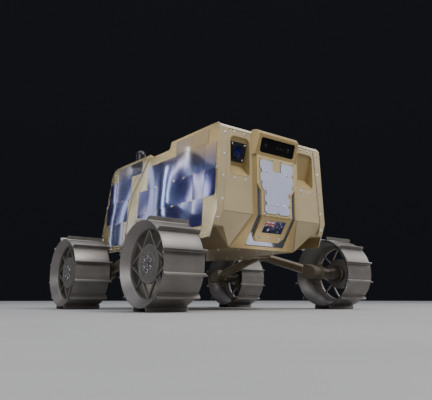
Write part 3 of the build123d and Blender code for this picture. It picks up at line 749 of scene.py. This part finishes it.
def lug_fillet(bm, turn, low_x, high_x):
    """Print fillets along both feet of a lug."""
    for side in (-1, 1):
        foot = [(LUG_T / 2 + LUG_FILLET * (1 - sin(a)) - 0.05 * MM,
                 RIM_R - 0.1 * MM + LUG_FILLET * (1 - cos(a))) for a in turns(0, 90, 3)]
        foot.append((LUG_T / 4, RIM_R - 0.6 * MM))
        low, high = [[bm.verts.new(turn @ Vector((x, side * across, up))) for across, up in foot]
                     for x in (low_x, high_x)]
        walls(bm, low, high)
        bm.faces.new(low)
        bm.faces.new(high[::-1])


def spoke(bm, hub_angle, rim_angle, low, high):
    """Straight rib from the hub disc to the ring, its long edges bevelled."""
    start = around(0, HUB_R - 1.5 * MM, hub_angle)
    run = around(0, RING_R + 1.2 * MM, rim_angle) - start
    outline = oblong(-SPOKE_W / 2, 0, SPOKE_W / 2, run.length)
    faces = plate(bm, outline, low, high, looking(start, (1, 0, 0), run))
    edges = [edge for face in faces[:2] for edge in face.edges if abs(edge.calc_length() - run.length) < 1e-5]
    bmesh.ops.bevel(bm, geom=edges, offset=0.8 * MM, segments=2, affect="EDGES", profile=0.5)


def wheels():
    template = wheel_mesh()
    for side_name, side in SIDES:
        for end_name, end in ENDS:
            node = "wheel_" + end_name + "_" + side_name
            piece = template.copy()
            piece.name = node + "_dressed"
            piece.location = (side * WHEEL_X, end * AXLE_Y, HUB_Z)
            piece.rotation_euler = (0, 0, 0 if side > 0 else pi)
            scene.collection.objects.link(piece)
            placed(piece, node, (node,))
    bpy.data.objects.remove(template)


SHEET_ROUND = 0.8 * MM
SIDE_ROUND = 0.5 * MM
LINER_ROUND = 2.4 * MM
# The belly's finish is darkened gold, a painted shade
PANEL_FINISHES = (("chassis_tub", "belly_gold_painted_shade"), ("centre_bezel", "gold_metal"),
                  ("frame_plate", "frame_gold"), ("tongue_panel", "gold_metal"),
                  ("camera_hood", "gold_metal"))


def body_panels():
    """Every sheet of the body with rounded edges."""
    # The top bevel takes the lighter finish, a painted highlight
    dressed("front_fascia", SHEET_ROUND, ("sheet_metal", "bevel_cream_painted_highlight"), top_bevel)
    for node in ("top_deck", "rear_panel"):
        dressed(node, SHEET_ROUND)
    for node, finish in PANEL_FINISHES:
        dressed(node, SHEET_ROUND, (finish,))
    white_cover()
    flag()
    # The slot's downward faces take the darker mirror, a painted shade
    dressed("slot_insert", 0.15 * MM, ("dark_mirror", "mirror_painted_shade"), underside)
    for name, _ in SIDES:
        for node in ("side_plate_", "rear_side_panel_"):
            dressed(node + name, SIDE_ROUND, ("side_metal", "cut_edge"), edge_of_sheet)
        dressed("corner_strip_" + name, 0.4 * MM)
        dressed("window_liner_" + name, LINER_ROUND, ("liner_gold",))
        for node in ("front_solar_cells_", "rear_solar_cells_"):
            dressed(node + name, 0.2 * MM)


def leg_direction(end):
    return Vector((0, end * AXLE_Y, HUB_Z - PIVOT_Z)).normalized()


def leg(corner, side, end):
    """Round tube from the pivot barrel into the knuckle, with a fitted collar at each end."""
    node = "leg_" + corner
    place = along_x((side * LEG_X, 0, PIVOT_Z), leg_direction(end))
    knuckle_x = Vector((0, AXLE_Y, HUB_Z - PIVOT_Z)).length - KNUCKLE_BACK
    finish = knuckle_x - 0.2 * MM
    bm = bmesh.new()
    lathe(bm, [(LEG_START, 0), (LEG_START, LEG_R), (finish, LEG_R), (finish, 0)], 48, place)
    for station in (PIVOT_R + 1.5 * MM, knuckle_x - 1.2 * MM):
        collar = [(station + x, LEG_R - 0.6 * MM + y) for x, y in circle(COLLAR_R, 8)]
        lathe(bm, collar, 48, place, closed=True)
    instead(node + "_tube", bm, ("leg_metal",), node)


def d_outline(radius, back, corner):
    """Round front and square back, the back towards +x."""
    points = rounded(((0, -radius, 0), (back, -radius, corner), (back, radius, corner), (0, radius, 0)),
                     steps=4)
    return points + [Vector((radius * cos(a), radius * sin(a))) for a in turns(90, 270, 20)[1:-1]]


def knuckle(corner, side, end):
    """D-shaped block on the leg's end, its flange with a bolt lug above and below."""
    node = "knuckle_" + corner
    back = -leg_direction(end)
    outward = Vector((side, 0, 0))
    place = axes((side * LEG_X, end * AXLE_Y, HUB_Z), back, outward.cross(back), outward)
    bm = bmesh.new()
    face = plate(bm, d_outline(KNUCKLE_R, KNUCKLE_BACK, 3 * MM), -KNUCKLE_HALF, KNUCKLE_HALF, place)[0]
    for thickness, depth in ((2.4, 0), (0.8, -1.2)):
        bmesh.ops.inset_region(bm, faces=[face], thickness=thickness * MM, depth=depth * MM)
    flange_end = KNUCKLE_HALF + FLANGE_W
    plate(bm, circle(FLANGE_R, 64), KNUCKLE_HALF, flange_end, place)
    lug = pad(FLANGE_LUG_R / MM, (FLANGE_LUG_REACH + FLANGE_LUG_R) / MM, 6.5)
    plate(bm, lug, KNUCKLE_HALF + 0.4 * MM, flange_end - 0.4 * MM, place)
    instead(node + "_block", bm, ("dark_metal",), node, 0.9 * MM)
    bolts = bmesh.new()
    over = Matrix.Rotation(pi, 4, "X")
    for up in (-1, 1):
        lug_bolt = (0, up * FLANGE_LUG_REACH, KNUCKLE_HALF + 0.3 * MM)
        pocket_bolt = (KNUCKLE_BACK - 9 * MM, up * 12 * MM, 1 * MM - KNUCKLE_HALF)
        for spot, radius, rise in ((lug_bolt, 4.2, 4), (pocket_bolt, 3, 2)):
            screw_head(bolts, place @ Matrix.Translation(spot) @ over, radius * MM, rise * MM, slot=0)
    beside(node + "_bolts", bolts, ("dark_metal", "socket_painted_shade"))


def wheel_drive(corner, side, end):
    """Drive barrel inside the wheel: grooved housing, end ring with its screws, and the shaft."""
    node = "wheel_drive_" + corner
    low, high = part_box(node)
    start = KNUCKLE_HALF + FLANGE_W
    finish = high[0] - low[0] + start
    ring = finish - SHAFT_RUN - DRIVE_RING_W
    ring_end = ring + DRIVE_RING_W
    edge = 0.8 * MM
    outline = [(start - 0.2 * MM, 0)]
    outline += shifted(((-0.2, 2), (5, 2), (6, 0), (30, 0), (30.8, -0.8), (32.4, -0.8), (33.2, 0)),
                       start, DRIVE_R)
    outline += shifted(((-9, 0), (-6, 2.4), (0, 2.4)), ring, DRIVE_R)
    outline += [(ring, DRIVE_RING_R - edge), (ring + edge, DRIVE_RING_R), (ring_end - edge, DRIVE_RING_R),
                (ring_end, DRIVE_RING_R - edge), (ring_end, SHAFT_R), (finish, SHAFT_R), (finish, 0)]
    place = along_x((side * LEG_X, end * AXLE_Y, HUB_Z), (side, 0, 0))
    bm = bmesh.new()
    lathe(bm, outline, 64, place)
    for index in range(8):
        spot = place @ around(ring, RING_SCREWS_R, 45 * (index + 0.5))
        screw_head(bm, looking(spot, (-side, 0, 0)), 1.5 * MM, 1.3 * MM)
    instead(node + "_housing", bm, ("drive_metal", "dark_metal", "socket_painted_shade"), node)


def pivot_housing(side_name, side):
    """Base plate with its bolts on the side sheet, barrel with a turned step and a cream cap."""
    node = "pivot_housing_" + side_name
    outward = (side, 0, 0)
    middle = -FRONT / MM
    bm = bmesh.new()
    base = looking(side_point(side, middle, PIVOT_BASE_HEIGHT), side_normal(side))
    plate(bm, pad(48, 20, 8), 0, PIVOT_BASE_T, base)
    run = PIVOT_OUTER_X - HALF_WIDTH
    barrel = [(1 * MM, 0), (1 * MM, PIVOT_R)]
    barrel += shifted(((-1.2, 0), (0, -1.2), (0, -5), (-1, -5.6)), run, PIVOT_R)
    lathe(bm, barrel + [(run - 1 * MM, 0)], 64, along_x((side * HALF_WIDTH, 0, PIVOT_Z), outward))
    instead(node + "_barrel", bm, ("dark_metal",), node, 0.6 * MM, 40)
    cap = bmesh.new()
    rise = PIVOT_CAP_RISE
    outline = [(-1.2 * MM, 0), (-1.2 * MM, PIVOT_CAP_R)]
    outline += shifted(((-1.5, 0), (-0.4, -1.1), (0, -2.6), (0, -6.8), (-1.6, -7.2)), rise, PIVOT_CAP_R)
    outline.append((rise - 1.6 * MM, 0))
    lathe(cap, outline, 48, along_x((side * PIVOT_OUTER_X, 0, PIVOT_Z), outward))
    soften(beside(node + "_cap", cap, ("cream_cap",)))
    bolts = [(side_point(side, middle + along, PIVOT_BASE_HEIGHT + up, PIVOT_BASE_T), side_normal(side))
             for along in (-39, 39) for up in (-11, 11)]
    screws(node + "_bolts", bolts, 1.15)


def running_gear():
    for side_name, side in SIDES:
        pivot_housing(side_name, side)
        for end_name, end in ENDS:
            corner = end_name + "_" + side_name
            leg(corner, side, end)
            knuckle(corner, side, end)
            wheel_drive(corner, side, end)


# Camera recess in the right window: its back wall leans, and the camera is bolted to it
RECESS_LIP = 4 * MM
RECESS_DEPTH = 26 * MM
RECESS_TOP = 219
RECESS_DROP = 77 * MM
RECESS_X = 136.25
FLANGE_DROP = 41.5 * MM
FLANGE_RISE = 4 * MM
# Turned front of the camera: the finish of each stretch, its heights and radii
LENS_TURNED = (
    (0, ((0, 0), (0, 21), (1, 21), (1.5, 20.5), (1.5, 19.9), (0.9, 19.5))),
    (3, ((0.9, 19.5), (0.9, 12.6))),
    (0, ((0.9, 12.6), (0.4, 12.3), (0.4, 11.8))),
    (1, ((0.4, 11.8), (0.9, 9.5), (1.2, 6), (1.3, 2.4))),
    (0, ((1.3, 2.4), (1.32, 0))),
)
LENS_LIGHTS = 14


def recess_place(stand_off):
    """Placement on the recess's back wall, z outward, y up the wall."""
    lean = RECESS_DEPTH - RECESS_LIP
    down = Vector((0, lean, -RECESS_DROP)).normalized()
    normal = Vector((0, -RECESS_DROP, -lean)).normalized()
    top = at(-RECESS_X, FRONT + RECESS_LIP, RECESS_TOP)
    return looking(top + down * FLANGE_DROP + normal * stand_off, normal)


def navigation_camera():
    """Black flange with four screws, round housing, ring of small lights and a blue front glass."""
    dressed("camera_flange", SHEET_ROUND)
    place = recess_place(FLANGE_RISE)
    bm = bmesh.new()
    for index, outline in LENS_TURNED:
        lathe(bm, shifted(outline), 64, place @ UPRIGHT, index)
    for index in range(LENS_LIGHTS):
        turn = Matrix.Rotation(tau * index / LENS_LIGHTS, 4, "Z")
        spot = place @ turn @ Matrix.Translation((16.1 * MM, 0, 1.15 * MM))
        plate(bm, pad(1.7, 1.8, 1.2, 3), -0.4 * MM, 0, spot, 2)
    piece = new_object("camera_lens_body", bm, "black_plastic", "lens_glass", "lens_dot", "lens_band")
    placed(piece, "chassis", ("camera_lens",))
    outward = place.to_3x3() @ UPWARD
    bolts = [(place @ Vector((x * 23 * MM, y * 22 * MM, 0)), outward) for x in (-1, 1) for y in (-1, 1)]
    screws("camera_flange_screws", bolts, steel="screw_dull")


# Camera slot in the hood's leaning face: the face's run and rise, and the slot's middle on it
HOOD_RUN = 18 * MM
HOOD_RISE = 61 * MM
SLOT_HALF = (71 * MM, 22 * MM)
SLOT_HEIGHT = 208
SLOT_PROUD = 9 * MM + 30 * MM * HOOD_RUN / HOOD_RISE
SLOT_CORNER_R = 6 * MM
SLOT_CORNER_LAP = 0.3 * MM
BAR_SETBACK = 3 * MM
# Lenses and projector behind the glass: x, radius, finish
BAR_LENSES = ((-49, 5.2, 0), (-1, 3, 0), (12.5, 2.2, 1), (21.5, 2.8, 0), (45, 5.2, 0))


def stereo_camera():
    """Black glass bar in the hood's round-cornered slot, faint lenses and a projector behind the glass."""
    dressed("stereo_camera", SHEET_ROUND)
    normal = Vector((0, -HOOD_RISE, -HOOD_RUN)).normalized()
    middle = at(0, FRONT - SLOT_PROUD, SLOT_HEIGHT)
    half_w, half_h = SLOT_HALF
    outer_x, outer_y = half_w + SLOT_CORNER_LAP, half_h + SLOT_CORNER_LAP
    arc_x, arc_y = half_w - SLOT_CORNER_R, half_h - SLOT_CORNER_R
    shape = [(outer_x, outer_y), (arc_x, outer_y)]
    shape += [(arc_x + SLOT_CORNER_R * sin(a), arc_y + SLOT_CORNER_R * cos(a)) for a in turns(0, 90, 8)]
    shape.append((outer_x, arc_y))
    corners = bmesh.new()
    for across in (-1, 1):
        for up in (-1, 1):
            corner = [(across * x, up * y) for x, y in shape][::across * up]
            plate(corners, corner, -BAR_SETBACK, -0.15 * MM, looking(middle, normal))
    beside("camera_hood_corners", corners, ("gold_metal",))
    middle -= normal * BAR_SETBACK
    bm = bmesh.new()
    for x, radius, index in BAR_LENSES:
        place = looking(middle + Vector((x * MM, 0, 0)), normal) @ UPRIGHT
        outline = shifted(((-0.6, radius), (0.08, radius), (0.08, radius * 0.8), (-0.3, 0)))
        lathe(bm, outline, 32, place, index)
    beside("stereo_camera_lenses", bm, ("smoked_dome", "faint_red"))


DOME_R = 19 * MM
# Heights and radii of its turned foot
DOME_FOOT = ((0, 0), (0, 23), (4, 23), (5, 22), (5, 19))


def antenna_dome():
    """Smoked dome on a black foot."""
    low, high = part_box("antenna_dome")
    x, y, _ = middle_of("antenna_dome")
    place = Matrix.Translation((x, y, low[2])) @ UPRIGHT
    shoulder = high[2] - low[2] - DOME_R
    bm = bmesh.new()
    foot = shifted(DOME_FOOT)
    lathe(bm, foot, 64, place)
    crown = [(shoulder + DOME_R * sin(a), DOME_R * cos(a)) for a in turns(0, 90, 16)]
    lathe(bm, foot[-1:] + crown, 64, place, 1)
    instead("antenna_dome_smoked", bm, ("black_plastic", "smoked_dome"), "antenna_dome")


# White cover: half widths and heights; the frame screws notch its edge
COVER_HALF = 68.5 * MM
COVER_WAIST = 52.5 * MM
COVER_TOP = 166 * MM
COVER_BOTTOM = 7 * MM
COVER_STEP = (67.6 * MM, 94.8 * MM)
COVER_NOTCH = (16.5 * MM, 136 * MM)
COVER_T = 1.5 * MM
SCALLOP_R = 7.9 * MM


def cover_outline(grow):
    """Outline with round bites at the frame's screws and a square notch on top, grown all round."""
    notch_x, notch_low = COVER_NOTCH
    waist, half, top = COVER_WAIST + grow, COVER_HALF + grow, COVER_TOP + grow
    right = [(waist, COVER_BOTTOM - grow), (waist, COVER_STEP[0]), (half, COVER_STEP[1]), (half, top),
             (notch_x - grow, top), (notch_x - grow, notch_low + grow)]
    outline = [Vector(p) for p in right] + [Vector((-x, h)) for x, h in reversed(right)]
    for centre in shifted(both_sides(FRAME_SCREWS)):
        outline = notched(outline, centre, SCALLOP_R - grow)
    return outline


def white_cover():
    """Scalloped cover whose edges are dark, on a thin dark sheet that shows as its outline: painted shadow of
    its thickness.
    """
    place = looking((0, COVER_FACE + COVER_T, CREASE), FORWARD)
    bm = bmesh.new()
    # The cover's edge faces take the dark finish, a painted shade
    for face in plate(bm, cover_outline(0), 0, COVER_T, place)[2:]:
        face.material_index = 1
    instead("white_cover", bm, ("white_plate", "seam_and_painted_shadow"), "scalloped_plate", 0.3 * MM, 50)
    # A slightly larger dark sheet under the cover: a painted shadow round its edge
    painted_shadow = bmesh.new()
    plate(painted_shadow, cover_outline(0.9 * MM), 0, 0.25 * MM, place)
    beside("cover_painted_shadow", painted_shadow, ("seam_and_painted_shadow",))


FLAG_W = 80 * MM
FLAG_H = 40 * MM
FLAG_MIDDLE = (2, -26.2)
FLAG_LAYER = 0.04 * MM
# Stars: number of points, radius, place
FLAG_STARS = ((7, 6, 20, 10), (7, 2.9, 60, 6.5), (7, 2.9, 60, 33), (7, 2.9, 51.5, 22.5),
              (7, 2.9, 68.5, 25), (5, 1.7, 64, 18))
STAR_WAIST = 0.46


def star(points, radius, centre):
    """Star about a centre, one of its points straight up."""
    return [Vector(centre) + Vector((-sin(a), cos(a))) * radius * (STAR_WAIST if k % 2 else 1)
            for k, a in enumerate(turns(0, 360, 2 * points)[:-1])]


def band(width, height, half, rising):
    """Diagonal band across a rectangle from corner to corner, cut off at its edges."""
    slant = atan2(height, width)
    along, up = half / sin(slant), half / cos(slant)
    points = [(0, 0), (along, 0), (width, height - up), (width, height), (width - along, height), (0, up)]
    return points if rising else [(x, height - y) for x, y in reversed(points)]


def flag():
    """Ensign on the tongue panel: dark field, crosses in its corner, six white stars."""
    half_w, half_h = FLAG_W / 2, FLAG_H / 2
    place = looking(tongue_point(*FLAG_MIDDLE), FACET_NORMAL) @ Matrix.Translation((-half_w, -half_h, 0))
    corner = place @ Matrix.Translation((0, half_h, 0))
    layers = [(oblong(0, 0, FLAG_W, FLAG_H), place, 0)]
    for half, index in ((2.4 * MM, 1), (0.9 * MM, 2)):
        layers += [(band(half_w, half_h, half, rising), corner, index) for rising in (True, False)]
    for half, index in ((3.3 * MM, 1), (2 * MM, 2)):
        layers.append((oblong(0, half_h / 2 - half, half_w, half_h / 2 + half), corner, index))
        layers.append((oblong(half_w / 2 - half, 0, half_w / 2 + half, half_h), corner, index))
    layers += [(star(points, radius * MM, (x * MM, y * MM)), place, 1) for points, radius, x, y in FLAG_STARS]
    bm = bmesh.new()
    for number, (outline, where, index) in enumerate(layers, 4):
        plate(bm, outline, 0, number * FLAG_LAYER, where, index)
    beside("tongue_flag", bm, ("flag_navy", "flag_white", "flag_red"))


SKY_STRENGTH = 1.7
# Sky from the ground up: dark behind the rover, a soft light overhead
SKY = ((0, (0.004, 0.0045, 0.006)), (0.6, (0.005, 0.0055, 0.007)), (0.8, (0.54, 0.56, 0.63)),
       (1, (0.94, 0.96, 1)))
FLOOR_TONES = ((0.3, (0.33, 0.33, 0.33)), (0.7, (0.38, 0.38, 0.375)))
FLOOR_HALF = 12


def stage():
    """Pale floor and plain soft studio light."""
    tree, shader = material("pale_floor")
    put(shader, Base_Color=ramp(noise(coordinates(tree), 2), FLOOR_TONES), Roughness=0.75)
    bm = bmesh.new()
    bmesh.ops.create_grid(bm, x_segments=1, y_segments=1, size=FLOOR_HALF)
    floor = new_object("floor", bm, "pale_floor")
    world = scene.world or bpy.data.worlds.new("world")
    scene.world = world
    world.use_nodes = True
    tree = world.node_tree
    direction = add(tree, "TexCoord").outputs["Generated"]
    rise = add(tree, "SeparateXYZ", Vector=direction).outputs["Z"]
    put(tree.nodes["Background"], Color=ramp(rise, SKY), Strength=SKY_STRENGTH)


COOL = (0.9, 0.94, 1)
WARM = (1, 0.86, 0.62)
# Soft lights: name, place, target, size, power, colour
SOFT_LIGHTS = (
    ("key", (0.8, -2.3, 3.3), (0, 0, 0.35), (1.5, 1.2), 100, (1, 0.97, 0.93)),
    ("right_fill", (3.2, -1.2, 1.6), (0, 0, 0.3), (1.4, 1.4), 22, (1, 1, 1)),
    ("front_fill", (-2.4, -2.6, 0.9), (0, 0, 0.3), (1.4, 1), 8, (1, 1, 1)),
    ("flank_fill", (-3.4, -1.4, 1.7), (-0.3, 0, 0.2), (1.6, 1.6), 42, (0.94, 0.96, 1)),
)
# Streak lights: stations and heights between which the side mirrors them, radiance, colour
STREAKS = (
    (550, 562, -60, 235, 7, COOL),
    (392, 448, -70, 230, 2.2, COOL),
    (222, 256, 0, 186, 6.5, COOL),
    (140, 154, 30, 190, 7.5, COOL),
    (-20, 56, -100, 34, 3.4, COOL),
    (-70, 330, 170, 300, 0.95, WARM),
)
STREAK_REACH = 2.6
# Small light on the floor that brightens the lower right corner of the mirror slot
SLOT_CARD = Vector((0.182, -0.402, 0.004))
SLOT_CARD_SIZE = (0.13, 0.066)
SLOT_CARD_RADIANCE = 5.8
SLOT_CARD_COLOUR = (0.93, 0.92, 1)


def area_light(name, place, target, size, power, colour):
    data = bpy.data.lights.new(name, "AREA")
    data.shape = "RECTANGLE"
    data.size, data.size_y = size
    data.energy = power
    data.color = colour
    lamp = in_scene(name, data)
    lamp.location = place
    lamp.visible_camera = False
    lamp.rotation_euler = (Vector(target) - Vector(place)).to_track_quat("-Z", "Y").to_euler()
    return lamp


def card_power(size, radiance):
    """Power of an area light that shows this radiance in a reflection."""
    return radiance * pi * size[0] * size[1]


def lights():
    """Soft key and fill lights, and lights that the glossy right side and the mirror slot reflect."""
    for soft in SOFT_LIGHTS:
        area_light(*soft)
    normal = side_normal(-1)
    eye = scene.camera.location
    image = eye - normal * 2 * normal.dot(eye - side_point(-1, 0, 0))

    def beyond(station, height):
        """Where the view of a point of the side goes on to, mirrored."""
        on_side = side_point(-1, station, height)
        return on_side + (on_side - image).normalized() * STREAK_REACH

    for number, (first, last, low, high, radiance, colour) in enumerate(STREAKS):
        station, height = (first + last) / 2, (low + high) / 2
        size = ((beyond(first, height) - beyond(last, height)).length,
                (beyond(station, low) - beyond(station, high)).length)
        area_light("streak_%d" % number, beyond(station, height), side_point(-1, station, height), size,
                   card_power(size, radiance), colour)
    card = area_light("slot_card", SLOT_CARD, SLOT_CARD + UPWARD, SLOT_CARD_SIZE,
                      card_power(SLOT_CARD_SIZE, SLOT_CARD_RADIANCE), SLOT_CARD_COLOUR)
    card.visible_diffuse = False


AZIMUTH = radians(38.4)
CAMERA_DISTANCE = 1.7
CAMERA_HEIGHT = 0.03
AIM = Vector((0.03, -0.01, 0.375))
LENS = 41


def camera():
    """Long lens at floor level, at the photograph's angle off the front."""
    data = bpy.data.cameras.new("camera")
    data.lens = LENS
    data.clip_start = 0.02
    made = in_scene("camera", data)
    back = Vector((-sin(AZIMUTH), -cos(AZIMUTH), 0))
    made.location = Vector((AIM.x, AIM.y, CAMERA_HEIGHT)) + back * CAMERA_DISTANCE
    made.rotation_euler = (AIM - made.location).to_track_quat("-Z", "Y").to_euler()
    scene.camera = made


camera()
stage()
lights()
body_panels()
running_gear()
navigation_camera()
stereo_camera()
antenna_dome()
dressed("equipment_block", 1 * MM)
wheels()
body_screws()
seam_lines_and_painted_shadows()
